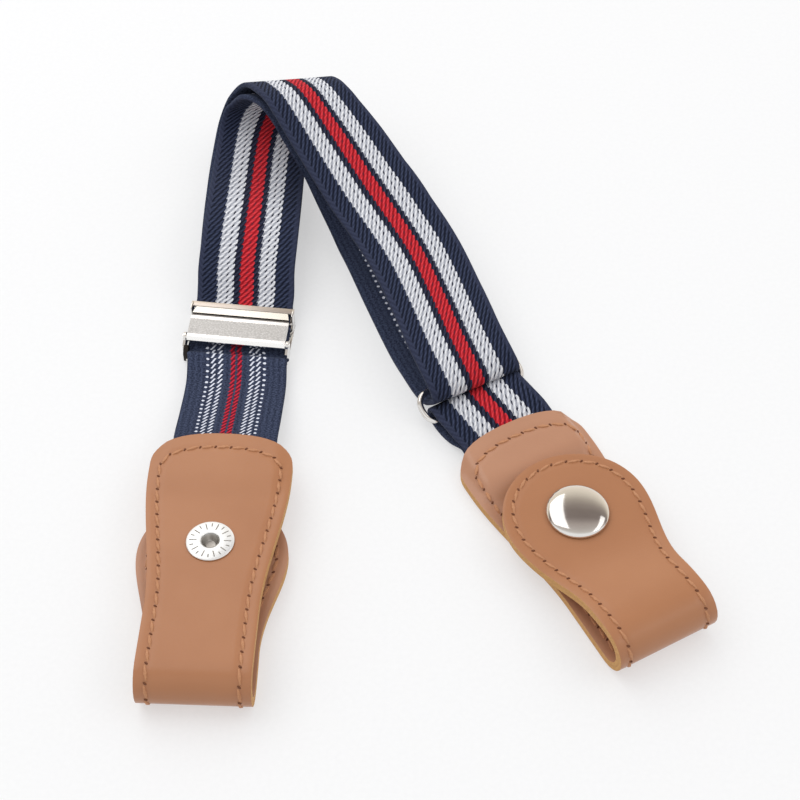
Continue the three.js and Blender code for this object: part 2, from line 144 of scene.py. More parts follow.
def mix(tree, share, first, second):
    """Two colours, or two sockets that carry them, mixed by a share."""
    node = tree.nodes.new("ShaderNodeMix")
    node.data_type = "RGBA"
    for socket, value in zip((node.inputs[0], node.inputs[6], node.inputs[7]),
                             (share, first, second)):
        if isinstance(value, (int, float, tuple)):
            socket.default_value = value
        else:
            tree.links.new(value, socket)
    return node.outputs[2]


# The studio's light, and what the metal mirrors. Both run from the horizon behind the belt, at
# 0, up over it and down to the horizon in front, at 1.
world = bpy.data.worlds.new("studio")
world.use_nodes = True
sky = world.node_tree
heading = sky.nodes.new("ShaderNodeSeparateXYZ")
sky.links.new(sky.nodes.new("ShaderNodeTexCoord").outputs["Generated"], heading.inputs[0])
over = maths(sky, "DIVIDE", maths(sky, "ARCTAN2", heading.outputs["Z"], heading.outputs["Y"]),
             math.pi)
mirrored = ramp(sky, over, [
    (0.0, dye(255, 250, 240)), (0.1, dye(254, 241, 225)), (0.17, dye(240, 229, 212)),
    (0.22, dye(217, 206, 191)), (0.26, dye(182, 171, 158)), (0.29, dye(159, 147, 138)),
    (0.33, dye(137, 125, 118)), (0.38, dye(136, 124, 118)), (0.44, dye(180, 169, 162)),
    (0.6, dye(214, 208, 202)), (0.68, dye(255, 255, 255)), (1.0, dye(250, 250, 250))])
lighting = ramp(sky, over, [
    (0.0, (1.08, 1.085, 1.1, 1)), (0.4, (1.0, 1.005, 1.02, 1)), (0.65, (0.78, 0.785, 0.8, 1)),
    (1.0, (0.55, 0.555, 0.57, 1))])
is_mirror = sky.nodes.new("ShaderNodeLightPath").outputs["Is Glossy Ray"]
sky.links.new(mix(sky, is_mirror, lighting, mirrored), sky.nodes["Background"].inputs["Color"])
faded = maths(sky, "MINIMUM", maths(sky, "MULTIPLY_ADD", heading.outputs["Z"], 1.6, 0.4), 1)
sky.links.new(maths(sky, "MAXIMUM", is_mirror, faded),
              sky.nodes["Background"].inputs["Strength"])
bpy.context.scene.world = world

# The long elastic band
# One strip of 25 mm woven elastic, navy with a red stripe between two white ones. It is sewn
# into the left tab, threads the adjuster, doubles over the V's point, turns round the ring and
# ends in the adjuster's bars.
webbing_half = 12.5
webbing_thick = 1.4
sewn_thick = 1.0
to_frame = Vector((-4.945, -6.493, 0.005))


def row(x, y, z, across, rise=0, thick=webbing_thick, stretch=1.0, shear=0.0):
    """One cross line of the webbing: its middle, and its direction in plan and upwards. The
    weave is pulled long by stretch and askew by shear."""
    turn, lift = math.radians(across), math.radians(rise)
    flat = math.cos(lift)
    line = Vector((flat * math.cos(turn), flat * math.sin(turn), math.sin(lift)))
    return {"middle": Vector((x, y, z)), "line": line, "thick": thick, "stretch": stretch,
            "shear": shear}


def curve_at(points, place):
    """The point and the slope of a smooth curve through points, at a place counted in them."""
    span = min(int(place), len(points) - 2)
    share = place - span
    start, end = points[span], points[span + 1]
    before = points[span - 1] if span > 0 else start * 2 - end
    after = points[span + 2] if span + 2 < len(points) else end * 2 - start
    gap = math.sqrt((end - start).length)
    gap = gap if gap > 1e-4 else 1
    gap_before = math.sqrt((start - before).length)
    gap_before = gap_before if gap_before > 1e-4 else gap
    gap_after = math.sqrt((after - end).length)
    gap_after = gap_after if gap_after > 1e-4 else gap
    leaving = ((start - before) / gap_before - (end - before) / (gap_before + gap)
               + (end - start) / gap) * gap
    arriving = ((end - start) / gap - (after - start) / (gap + gap_after)
                + (after - end) / gap_after) * gap
    second = (end - start) * 3 - leaving * 2 - arriving
    third = (start - end) * 2 + leaving + arriving
    point = start + (leaving + (second + third * share) * share) * share
    slope = leaving + (second * 2 + third * 3 * share) * share
    return point, slope


def keep_piece(name, shape, materials, slot, *nodes, body="belt", sharp=35):
    """Puts a finished shape, drawn in millimetres round the photograph's centre, in its place."""
    to_metres = Matrix.Scale(0.001, 4) @ Matrix.Translation(to_frame)
    bmesh.ops.transform(shape, matrix=to_metres, verts=shape.verts)
    for face in shape.faces:
        face.smooth = True
    for edge in shape.edges:
        edge.smooth = edge.calc_face_angle(0) < math.radians(sharp)
    mesh = bpy.data.meshes.new(name)
    shape.to_mesh(mesh)
    shape.free()
    for material in materials:
        mesh.materials.append(material)
    piece = bpy.data.objects.new(name, mesh)
    bpy.context.collection.objects.link(piece)
    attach(piece, body)
    if nodes:
        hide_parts(*nodes)
    return piece


def lay_webbing(name, rows, front_below, material, node):
    """Cuts a strip flat, rounds its edges and lays it along the rows. Its striped front is the
    strip's lower face when front_below is set, and the upper one otherwise."""
    middles = [r["middle"] for r in rows]
    lines = [r["line"] for r in rows]
    sections = []
    for span in range(len(rows) - 1):
        steps = max(3, math.ceil((middles[span + 1] - middles[span]).length / 1.3))
        for step in range(steps + (span == len(rows) - 2)):
            share = step / steps
            middle, slope = curve_at(middles, span + share)
            slope.normalize()
            line = curve_at(lines, span + share)[0].normalized()
            here, after = rows[span], rows[span + 1]
            sections.append({
                "middle": middle,
                "line": line / math.sqrt(1 - line.dot(slope) ** 2),
                "out": line.cross(slope).normalized(),
                "thick": here["thick"] + (after["thick"] - here["thick"]) * share,
                "stretch": here["stretch"] + (after["stretch"] - here["stretch"]) * share,
                "shear": here["shear"] + (after["shear"] - here["shear"]) * share,
            })
    lengths = [0.0]
    woven = [0.0]
    for before, after in zip(sections, sections[1:]):
        step = (after["middle"] - before["middle"]).length
        lengths.append(lengths[-1] + step)
        woven.append(woven[-1] + step / after["stretch"])

    shape = bmesh.new()
    bmesh.ops.create_grid(shape, x_segments=18, y_segments=len(sections) - 1, size=1)
    for vert in shape.verts:
        number = round((vert.co.y + 1) / 2 * (len(sections) - 1))
        vert.co = (vert.co.x * webbing_half, lengths[number], -webbing_thick / 2)
    raised = bmesh.ops.extrude_face_region(shape, geom=shape.faces[:])["geom"]
    raised = [part for part in raised if isinstance(part, bmesh.types.BMVert)]
    bmesh.ops.translate(shape, verts=raised, vec=(0, 0, webbing_thick))
    bmesh.ops.recalc_face_normals(shape, faces=shape.faces)
    corners = [edge for edge in shape.edges
               if sorted(round(abs(face.normal.x)) for face in edge.link_faces) == [0, 1]
               and abs(edge.verts[0].co.y - edge.verts[1].co.y) > 1e-4]
    bmesh.ops.bevel(shape, geom=corners, offset=0.5, offset_type="OFFSET", affect="EDGES",
                    segments=3, profile=0.5, material=-1)

    weave = shape.verts.layers.float_vector.new("weave")
    for vert in shape.verts:
        across, along, height = vert.co
        number = min(bisect.bisect_right(lengths, along) - 1, len(sections) - 2)
        share = (along - lengths[number]) / (lengths[number + 1] - lengths[number])
        here, after = sections[number], sections[number + 1]
        thick = here["thick"] + (after["thick"] - here["thick"]) * share
        vert.co = (here["middle"].lerp(after["middle"], share)
                   + here["line"].lerp(after["line"], share) * across
                   + here["out"].lerp(after["out"], share) * height * thick / webbing_thick)
        shear = here["shear"] + (after["shear"] - here["shear"]) * share
        shown = woven[number] + (woven[number + 1] - woven[number]) * share - shear * across
        front = (height < 0) == front_below
        vert[weave] = (across + webbing_half, shown if front_below else -shown, float(front))
    return keep_piece(name, shape, [material], "webbing", node)


def bump(tree, shader, height, depth, strength=1.0):
    node = tree.nodes.new("ShaderNodeBump")
    node.inputs["Strength"].default_value = strength
    node.inputs["Distance"].default_value = depth
    tree.links.new(height, node.inputs["Height"])
    tree.links.new(node.outputs["Normal"], shader.inputs["Normal"])


def stripes(tree, across, bands):
    """Colours that change at these distances from the left edge, in millimetres."""
    wide = 2 * webbing_half
    stops = [(from_edge / wide, colour) for from_edge, colour in bands]
    return ramp(tree, maths(tree, "DIVIDE", across, wide), stops, steps=True)


webbing, tree, shader = start_material("striped_webbing", 0.9)
shader.inputs["Specular IOR Level"].default_value = 0.1
shader.inputs["Sheen Weight"].default_value = 0.03
place = tree.nodes.new("ShaderNodeAttribute")
place.attribute_name = "weave"
parts = tree.nodes.new("ShaderNodeSeparateXYZ")
tree.links.new(place.outputs["Vector"], parts.inputs[0])
wander = maths(tree, "MULTIPLY_ADD", noise(tree, place.outputs["Vector"], 0.8), 0.3, -0.15)
across = maths(tree, "ADD", parts.outputs["X"], wander)
along = maths(tree, "ADD", parts.outputs["Y"], wander)
yarn = noise(tree, place.outputs["Vector"], 4, 3)
tufts = noise(tree, place.outputs["Vector"], 2.2, 2)

# On the front the twill's ribs climb to the right, and turn back in a short hook at the left.
# Each rib is a chain of short floats. The rims are plain.
hook_reach = 2.6
ribs_across, ribs_along = 0.81, 0.51
float_slant, float_length = 0.8, 0.8
rim_start = 11.1
hooked = maths(tree, "MAXIMUM", across, maths(tree, "SUBTRACT", hook_reach, across))
twill = maths(tree, "FRACT", maths(tree, "MULTIPLY_ADD", hooked, ribs_across,
                                   maths(tree, "MULTIPLY", along, ribs_along)))
rib = maths(tree, "SINE", maths(tree, "MULTIPLY", twill, math.pi))
from_middle = maths(tree, "ABSOLUTE", maths(tree, "SUBTRACT", across, webbing_half))
on_rim = maths(tree, "GREATER_THAN", from_middle, rim_start)
floats = maths(tree, "SINE", maths(tree, "MULTIPLY", maths(
    tree, "MULTIPLY_ADD", across, float_slant, along), 2 * math.pi / float_length))
lit = maths(tree, "MULTIPLY", maths(tree, "POWER", rib, 2.0),
            maths(tree, "MULTIPLY_ADD", floats, 0.32, 0.82))
lit = maths(tree, "MULTIPLY_ADD", maths(tree, "SUBTRACT", yarn, 0.5), 0.5, lit)
ragged = maths(tree, "MULTIPLY_ADD", rib, -0.5, maths(tree, "ADD", across, 0.25))
# The groove colours (the _in ones) are darker than the rib colours (the _on ones): painted shade in
# the hollows between the ribs.
navy_on, navy_in = dye(66, 74, 99), dye(17, 23, 40)
red_on, red_in = dye(240, 66, 74), dye(160, 14, 28)
white_on, white_in = dye(255, 255, 255), dye(176, 179, 188)
rim_navy, rim_shade = dye(60, 66, 88), dye(48, 53, 73)
gap_on, gap_in = dye(58, 62, 84), dye(20, 22, 38)
on_rib = stripes(tree, ragged, [
    (0, rim_navy), (1.3, navy_on), (5.0, white_on), (9.25, gap_on), (10.85, red_on),
    (14.3, gap_on), (15.75, white_on), (19.9, navy_on), (23.7, rim_navy)])
in_groove = stripes(tree, ragged, [
    (0, rim_shade), (1.3, navy_in), (5.0, white_in), (9.25, gap_in), (10.85, red_in),
    (14.3, gap_in), (15.75, white_in), (19.9, navy_in), (23.7, rim_shade)])
black, white = (0, 0, 0, 1), (1, 1, 1, 1)
grey = (0.55, 0.55, 0.55, 1)
front_colour = mix(tree, lit, in_groove, on_rib)
tick_columns = stripes(tree, across, [
    (0, black), (5.85, grey), (6.3, black), (7.35, white), (7.95, black), (8.95, white),
    (9.45, black), (12.4, grey), (12.9, black), (15.85, grey), (16.3, black), (17.35, white),
    (17.95, black), (18.95, white), (19.45, black)])
in_gap = maths(tree, "LESS_THAN", rib, 0.5)
front_colour = mix(tree, maths(tree, "MULTIPLY", in_gap, tick_columns), front_colour,
                   dye(40, 42, 60))

# On the reverse the ground is mottled, and only thin yarns of the stripes come through: ropes
# of short slanted strokes, and a row of dots beside each white pair.
strokes_along, stroke_lean = 0.58, 1.0
first_wale, wale_pitch = 2.25, 1.45
dots_middle, dots_from_middle, dots_along = 12.33, 7.13, 0.5
tooth = maths(tree, "SUBTRACT", maths(tree, "FRACT", maths(
    tree, "MULTIPLY", along, strokes_along)), 0.5)
leaning = maths(tree, "MULTIPLY_ADD", tooth, -stroke_lean, across)
wales = maths(tree, "COSINE", maths(tree, "MULTIPLY", maths(
    tree, "SUBTRACT", across, first_wale), 2 * math.pi / wale_pitch))
speckle = maths(tree, "MULTIPLY_ADD", maths(tree, "SUBTRACT", tufts, 0.5), 3.4,
                maths(tree, "MULTIPLY_ADD", wales, 0.16, 0.45))
ground = mix(tree, speckle, dye(37, 43, 62), dye(75, 84, 108))
ropes = stripes(tree, leaning, [
    (0, black), (6.4, white), (6.87, black), (8.12, white), (8.6, black), (11.3, white),
    (11.8, black), (12.95, white), (13.45, black), (16.1, white), (16.57, black),
    (17.65, white), (18.12, black)])
dot_across = maths(tree, "SUBTRACT", maths(tree, "ABSOLUTE", maths(
    tree, "SUBTRACT", across, dots_middle)), dots_from_middle)
dot_along = maths(tree, "MULTIPLY_ADD", maths(tree, "FRACT", maths(
    tree, "MULTIPLY", along, dots_along)), 2, -1)
dots = maths(tree, "LESS_THAN", maths(tree, "ADD", maths(tree, "POWER", dot_across, 2),
                                      maths(tree, "POWER", dot_along, 2)), 0.15)
rope_colour = stripes(tree, across, [
    (0, dye(236, 239, 248)), (10, dye(212, 48, 66)), (15, dye(236, 239, 248))])
on_yarn = maths(tree, "GREATER_THAN", maths(tree, "ADD", ropes, dots), 0.3)
red_ground = stripes(tree, across, [
    (0, black), (11.05, white), (12.1, black), (12.65, white), (13.75, black)])
ground = mix(tree, red_ground, ground, dye(112, 24, 42))
reverse_colour = mix(tree, on_yarn, ground, rope_colour)

colour = mix(tree, parts.outputs["Z"], reverse_colour, front_colour)
shade = mix(tree, tufts, dye(255, 255, 255), dye(226, 226, 230))
worn = tree.nodes.new("ShaderNodeMix")
worn.data_type = "RGBA"
worn.blend_type = "MULTIPLY"
worn.inputs[0].default_value = 1
tree.links.new(colour, worn.inputs[6])
tree.links.new(shade, worn.inputs[7])
tree.links.new(worn.outputs[2], shader.inputs["Base Color"])
front_relief = mix(tree, on_rim, rib, (0.7, 0.7, 0.7, 1))
relief = mix(tree, parts.outputs["Z"], on_yarn, front_relief)
relief = maths(tree, "MULTIPLY_ADD", yarn, 0.4, relief)
bump(tree, shader, relief, 0.0003, 0.8)

# Each tab's own frame has the snap at its origin, the head along +Y and the base's outer face
# at height 0. The right tab lies on its base, and the left one is turned over.
head_reach = 32
leather_thick = 2.1
left_tab_turn, right_tab_turn = -2.2, 28.4
left_tab_place = (Matrix.Translation((-43.2, -48.7, 9.88))
                  @ Matrix.Rotation(math.radians(left_tab_turn), 4, "Z")
                  @ Matrix.Rotation(math.radians(-3.808), 4, "X")
                  @ Matrix.Rotation(math.pi, 4, "Y"))
right_tab_place = (Matrix.Translation((41.2, -39.5, 0.7))
                   @ Matrix.Rotation(math.radians(right_tab_turn), 4, "Z"))


def rows_in_tab(tab_place, turn, height, stretch=1.0):
    """The webbing sewn between a tab's plies, from its sewn end to the head's edge."""
    rows = []
    for depth in (11.2, 5.9, 2, -0.6):
        x, y, z = tab_place @ Vector((0, head_reach - depth, height))
        rows.append(row(x, y, z, turn, thick=sewn_thick, stretch=stretch))
    return rows


adjuster_turn = -6.5
adjuster_place = (Matrix.Translation((-41, 19.3, 0))
                  @ Matrix.Rotation(math.radians(adjuster_turn), 4, "Z"))


def row_in_adjuster(along, height, stretch=1.0, shear=0.0):
    x, y, z = adjuster_place @ Vector((0, along, height))
    return row(x, y, z, adjuster_turn, stretch=stretch, shear=shear)


outer_run = [
    row(-41.4, -8, 5, -2, stretch=0.72), row(-40.9, 3, 3, -4, stretch=0.9),
    row(-41.1, 10.2, 3.3, -6, stretch=0.9), row(-41.2, 11.2, 3.1, -6, stretch=0.9),
    row(-41.3, 12.6, 1.7, -6, stretch=0.9),
    row_in_adjuster(-5.2, 1.6), row_in_adjuster(0, 1.7), row_in_adjuster(6.6, 1.8)]
left_leg_below = [
    row(-40.4, 31, 1.1, -6), row(-40.9, 43, 0.74, -4), row(-41, 52, 0.7, -4),
    row(-41, 63, 0.74, -4), row(-40.7, 75, 1.1, -4), row(-40, 85, 1.9, -3, -1),
    row(-38.3, 93, 5, 0, -7), row(-35.1, 97, 12, 9, -11), row(-31.3, 95.8, 19.5, 19, -12),
    row(-27.6, 89.8, 23.5, 26, -13)]
right_leg_above = [
    row(-24.9, 85.3, 24.4, 28, -13), row(-21.9, 80.6, 23.4, 28, -11),
    row(-15.8, 70.9, 20.7, 28, -4), row(-9.6, 60.3, 18.3, 28, -1), row(-3, 49, 16.4, 28, -1),
    row(3.7, 36.6, 14.7, 28, -3), row(9.4, 22.5, 12.9, 29, -5), row(13.6, 10.8, 11.8, 30, -5),
    row(17.1, 2.8, 10.1, 30, -5), row(18.5, 0.2, 8.5, 29.5, -5), row(18.8, -0.5, 7, 29.5, -4),
    row(17.8, 1.1, 4.7, 30, -3), row(16.5, 3.4, 2.4, 30, -1), row(14.6, 7.1, 1.1, 28),
    row(12, 12.4, 0.74, 26)]
right_leg_below = [
    row(9.3, 18, 0.72, 24), row(2.8, 34.8, 0.72, 22), row(-2.4, 49, 0.76, 22),
    row(-5, 55.4, 1, 22), row(-7.2, 60.8, 2, 23), row(-11.1, 68.5, 5.4, 24),
    row(-15.1, 75.5, 10.2, 25), row(-19.8, 81.5, 15.6, 25, -3), row(-25, 87.3, 20.2, 25, -10)]
left_leg_above = [
    row(-31, 93.3, 17.8, 18, -10, stretch=0.9), row(-34.8, 94, 11.6, 8, -9, stretch=0.85),
    row(-37.3, 89.4, 7.6, 1, -4, stretch=0.95, shear=0.15),
    row(-38.3, 82, 6.3, -2, -1, stretch=1.2, shear=0.22),
    row(-38.7, 70, 7.2, -3, -2, stretch=1.5, shear=0.22),
    row(-38.8, 58, 9.8, -3, -2, stretch=1.5, shear=0.22),
    row(-39.2, 46, 10.6, -3, -2, stretch=1.1, shear=0.2),
    row(-39.8, 36, 8.4, -4, -1, stretch=0.8, shear=0.2),
    row_in_adjuster(10.6, 5.6, 0.8, 0.2), row_in_adjuster(6.6, 4.4, 0.8, 0.2),
    row_in_adjuster(4.2, 4.4, 0.8, 0.2)]
long_band = (rows_in_tab(left_tab_place, left_tab_turn, leather_thick / 2, 0.6) + outer_run
             + left_leg_below + right_leg_above + right_leg_below + left_leg_above)
lay_webbing("striped_band", long_band, True, webbing, "long_elastic_band")

# The short elastic loop
# A piece of the same webbing, doubled round the ring's near bar and sewn into the right tab
# with its face outwards.
round_ring = [
    row(22.3, -6.6, 4.6, 31), row(19.9, -3.4, 4.9, 31), row(18.3, -0.6, 4.4, 31),
    row(17.6, 0.4, 2.8, 31), row(18.3, -0.7, 1.1, 31), row(20.1, -3.8, 0.72, 31),
    row(22.4, -6.9, 1.1, 31)]
short_loop = (rows_in_tab(right_tab_place, right_tab_turn, 3.0) + round_ring
              + rows_in_tab(right_tab_place, right_tab_turn, 1.7)[::-1])
lay_webbing("striped_loop", short_loop, False, webbing, "short_elastic_loop")

# The oval ring
# Round steel wire bent into a long loop with rounded corners, welded and nickel plated. It
# joins the long band to the short loop.
ring_long = 14.02
ring_short = 3.72
wire_radius = 0.78
corner_radius = 3


def metal(name, colour, roughness, scratch, mottle):
    """Plated metal with fine scratches, and a finish that is uneven by mottle."""
    material, tree, shader = start_material(name, roughness, 1.0)
    where = tree.nodes.new("ShaderNodeTexCoord").outputs["Object"]
    cloudy = noise(tree, where, 350, 4)
    fine = noise(tree, where, 2600, 3)
    tree.links.new(mix(tree, cloudy, colour, tuple(0.88 * c for c in colour[:3]) + (1,)),
                   shader.inputs["Base Color"])
    uneven = maths(tree, "MULTIPLY_ADD", maths(tree, "ADD", cloudy, fine), mottle,
                   roughness - mottle)
    tree.links.new(uneven, shader.inputs["Roughness"])
    bump(tree, shader, fine, scratch)
    return material


bright_plate = metal("nickel_plate", dye(231, 229, 226), 0.1, 0.000003, 0.03)

straight_long = ring_long - corner_radius
straight_short = ring_short - corner_radius
shape = bmesh.new()
wire = bmesh.ops.create_circle(shape, cap_ends=False, segments=20, radius=wire_radius,
                               matrix=Matrix.Translation((-straight_long, -ring_short, 0))
                               @ Matrix.Rotation(math.pi / 2, 4, "Y"))["verts"]
rim = list({edge for vert in wire for edge in vert.link_edges})
sides = [((2 * straight_long, 0, 0), (straight_long, -straight_short)),
         ((0, 2 * straight_short, 0), (straight_long, straight_short)),
         ((-2 * straight_long, 0, 0), (-straight_long, straight_short)),
         ((0, -2 * straight_short, 0), (-straight_long, -straight_short))]
for straight, bend in sides:
    grown = bmesh.ops.extrude_edge_only(shape, edges=rim)["geom"]
    moved = [part for part in grown if isinstance(part, bmesh.types.BMVert)]
    rim = [part for part in grown if isinstance(part, bmesh.types.BMEdge)]
    bmesh.ops.translate(shape, verts=moved, vec=straight)
    turned = bmesh.ops.spin(shape, geom=rim, cent=(*bend, 0), axis=(0, 0, 1),
                            angle=math.pi / 2, steps=8)["geom_last"]
    rim = [part for part in turned if isinstance(part, bmesh.types.BMEdge)]
bmesh.ops.remove_doubles(shape, verts=shape.verts, dist=0.001)
bmesh.ops.recalc_face_normals(shape, faces=shape.faces)
ring_place = (Matrix.Translation((17.6, 0.5, 4.24))
              @ Matrix.Rotation(math.radians(31), 4, "Z")
              @ Matrix.Rotation(math.radians(27), 4, "X"))
bmesh.ops.transform(shape, matrix=ring_place, verts=shape.verts)
keep_piece("wire_ring", shape, [bright_plate], "plated_metal", "oval_ring")

# The adjuster's frame
# Stamped and folded from steel sheet, then plated: a plate under the band, ears for the
# lever's pins, and two bars that hold the band's returning end.
plate_half = 12.8
far_half = 13.3


def add_block(shape, size, low, softened=0.15):
    """A block of metal from its size and its lowest corner, with its edges broken."""
    made = bmesh.ops.create_cube(shape, size=1)["verts"]
    middle = [start + length / 2 for start, length in zip(low, size)]
    bmesh.ops.transform(shape, verts=made, matrix=Matrix.Translation(middle)
                        @ Matrix.Diagonal((*size, 1)))
    edges = list({edge for vert in made for edge in vert.link_edges})
    bmesh.ops.bevel(shape, geom=edges, offset=softened, offset_type="OFFSET", affect="EDGES",
                    segments=2, profile=0.5, material=-1)


def give_depth(shape, outline, way):
    """Closes an outline into a face and pushes it out along a direction."""
    grown = bmesh.ops.extrude_face_region(shape, geom=[shape.faces.new(outline)])["geom"]
    moved = [part for part in grown if isinstance(part, bmesh.types.BMVert)]
    bmesh.ops.translate(shape, verts=moved, vec=way)


shape = bmesh.new()
add_block(shape, (24.4, 7.4, 0.8), (-12.2, -9, 0))
add_block(shape, (26.6, 3.6, 0.8), (-far_half, 3, 0))
add_block(shape, (3.3, 5, 0.8), (-far_half, -1.8, 0))
add_block(shape, (3.3, 5, 0.8), (10, -1.8, 0))
add_block(shape, (24.6, 0.9, 1.0), (-12.3, -9, 0.7))
add_block(shape, (26.6, 2.4, 0.6), (-far_half, 4.2, 2.8))
add_block(shape, (26.6, 1.5, 0.75), (-far_half, 5.45, 5.4), 0.12)
# The upper far bar's plating is duller than the rest.
for face in shape.faces:
    face.material_index = 1 if face.calc_center_median().z > 5.39 else 0
for side in (-1, 1):
    add_block(shape, (0.5, 2.4, 6.4), (side * 13.05 - 0.25, 4.2, 0))
    rounded = [(-4.2 + 1.2 * math.cos(angle), 4.9 + 1.2 * math.sin(angle))
               for angle in (math.radians(20 * step) for step in range(10))]
    ear = [shape.verts.new((side * plate_half, along, height)) for along, height in
           [(-5.2, 0), (-2.8, 0), (-2.8, 4.9)] + rounded + [(-6.8, 4.2), (-7.2, 2.9)]]
    give_depth(shape, ear, (side * 0.6, 0, 0))
bmesh.ops.recalc_face_normals(shape, faces=shape.faces)
bmesh.ops.transform(shape, matrix=adjuster_place, verts=shape.verts)
dull_plate = metal("dull_nickel", dye(226, 216, 207), 0.4, 0.000006, 0.06)
keep_piece("adjuster_frame", shape, [bright_plate, dull_plate], "plated_metal", "slider_frame")

# A dark hook-shaped piece at the left ear's lower end: painted shade, dark metal put where the
# ear's inner face lies in shadow.
shape = bmesh.new()
hook = [shape.verts.new((-11.8, along, height)) for along, height in
        [(-8.6, 0.4), (-5.8, 0.1), (-5.8, 3.4), (-6.4, 4.4), (-7.2, 4.4), (-8.5, 2.9)]]
give_depth(shape, hook, (-1.3, 0, 0))
bmesh.ops.bevel(shape, geom=shape.edges[:], offset=0.2, offset_type="OFFSET", affect="EDGES",
                segments=2, profile=0.5, material=-1)
bmesh.ops.recalc_face_normals(shape, faces=shape.faces)
bmesh.ops.transform(shape, matrix=adjuster_place, verts=shape.verts)
# Its near-black colour is painted shade.
ear_shade_metal = metal("painted_shade_dark_metal", dye(52, 47, 44), 0.45, 0.00001, 0.1)
keep_piece("adjuster_ear_painted_shade", shape, [ear_shade_metal], "plated_metal")

# The adjuster's lever
# A stamped plate curled into a barrel at its hinge. A groove stiffens it, and its tip slopes
# down past the groove. It swings on two pins in the frame's ears.
lever_half = 12.55
hinge_along, hinge_height = -4.2, 4.9
hinge_line = adjuster_place @ Vector((0, hinge_along, 0)) + to_frame
hinge_y = (Matrix.Rotation(math.radians(-adjuster_turn), 3, "Z") @ hinge_line).y / 1000
satin_from, satin_to = hinge_y + 0.0004, hinge_y + 0.0052
groove_from, groove_to = hinge_y + 0.00615, hinge_y + 0.00705


def lever_metal():
    """Nickel with a satin plate, a polished barrel and tip, and a groove painted dark grey as
    painted shade, told apart by their distance from the hinge."""
    material, tree, shader = start_material("lever_nickel", 0.3, 1.0)
    where = tree.nodes.new("ShaderNodeTexCoord").outputs["Object"]
    straight = tree.nodes.new("ShaderNodeMapping")
    straight.inputs["Rotation"].default_value = (0, 0, math.radians(-adjuster_turn))
    tree.links.new(where, straight.inputs["Vector"])
    place = tree.nodes.new("ShaderNodeSeparateXYZ")
    tree.links.new(straight.outputs["Vector"], place.inputs[0])
    speckle = noise(tree, straight.outputs["Vector"], 2600, 3)
    along = maths(tree, "MULTIPLY_ADD", speckle, 0.0006, maths(
        tree, "SUBTRACT", place.outputs["Y"], 0.0003))
    satin = maths(tree, "MULTIPLY", maths(tree, "GREATER_THAN", along, satin_from),
                  maths(tree, "LESS_THAN", along, satin_to))
    spotted = ramp(tree, speckle, [(0.34, dye(199, 199, 198)), (0.5, dye(210, 210, 209)),
                                   (0.66, dye(227, 227, 227))])
    # The groove's dark grey is painted shade in the groove.
    groove = maths(tree, "MULTIPLY", maths(tree, "GREATER_THAN", place.outputs["Y"], groove_from),
                   maths(tree, "LESS_THAN", place.outputs["Y"], groove_to))
    plated = mix(tree, satin, dye(250, 249, 247), spotted)
    tree.links.new(mix(tree, groove, plated, dye(122, 119, 116)), shader.inputs["Base Color"])
    tree.links.new(maths(tree, "MULTIPLY_ADD", satin, 0.36, 0.16), shader.inputs["Roughness"])
    bump(tree, shader, maths(tree, "MULTIPLY", satin, speckle), 0.000015)
    return material


shape = bmesh.new()
outline = [(0, 1), (-0.4, 0.95), (-0.75, 0.68), (-1.12, 0.1), (-1.12, -0.2), (-0.9, -0.5),
           (-0.5, -0.87), (0, -1), (0.6, -0.8), (0.95, -0.25), (0.95, 0.3), (9.45, 0.65),
           (9.6, 1.0), (9.4, 1.2), (7.05, 1.5), (6.95, 1.15), (6.3, 1.15), (6.15, 1.45),
           (5.2, 1.35)]
profile = [shape.verts.new((-lever_half, along, height)) for along, height in outline]
give_depth(shape, profile, (2 * lever_half, 0, 0))
for side in (-1, 1):
    corner = bmesh.ops.bisect_plane(
        shape, geom=shape.verts[:] + shape.edges[:] + shape.faces[:],
        plane_co=(side * lever_half, 6.6, 0), plane_no=(side * 3, 0.8, 0), clear_outer=True)
    rim = [part for part in corner["geom_cut"] if isinstance(part, bmesh.types.BMEdge)]
    bmesh.ops.holes_fill(shape, edges=rim, sides=0)
bmesh.ops.recalc_face_normals(shape, faces=shape.faces)
bmesh.ops.create_cone(shape, cap_ends=True, segments=20, radius1=0.65, radius2=0.65, depth=27.4,
                      matrix=Matrix.Rotation(math.pi / 2, 4, "Y"))
bmesh.ops.translate(shape, verts=shape.verts, vec=(0, hinge_along, hinge_height))
bmesh.ops.transform(shape, matrix=adjuster_place, verts=shape.verts)
keep_piece("adjuster_lever", shape, [lever_metal()], "satin_metal", "slider_lever",
           body="lever", sharp=25)

# The leather tabs
# Each is two plies of smooth tan leather, glued back to back and stitched round the edge, with
# raw cut edges. The strip folds back on itself round a trouser loop, and its head is sewn over
# the webbing.
fold_start = 32.3
fold_radius = 4.95
flap_reach = 17
snap_gap = 3.2
snap_hole = 2.25
waist_half = 12.75
stitch_pitch = 3.7


def side_view():
    """The middle of the leather in side view, from the head round the fold to the flap's tip."""
    low = leather_thick / 2
    high = low + 2 * fold_radius
    on_snap = leather_thick * 1.5 + snap_gap
    points = [Vector((head_reach - along, low)) for along in range(64)]
    for step in range(33):
        angle = math.radians(-90 - 180 * step / 32)
        points.append(Vector((-fold_start + fold_radius * math.cos(angle),
                              low + fold_radius * (1 + math.sin(angle)))))
    bend = [Vector(p) for p in ((-fold_start, high), (-23, high), (-19, on_snap), (-8, on_snap))]
    for step in range(1, 25):
        share = step / 24
        rest = 1 - share
        points.append(bend[0] * rest ** 3 + bend[1] * 3 * rest ** 2 * share
                      + bend[2] * 3 * rest * share ** 2 + bend[3] * share ** 3)
    points += [Vector((along, on_snap)) for along in range(-7, 9)]
    drooping = flap_reach - 8
    points += [Vector((8 + along, on_snap - 0.4 * along / drooping))
               for along in range(1, drooping + 1)]
    return points


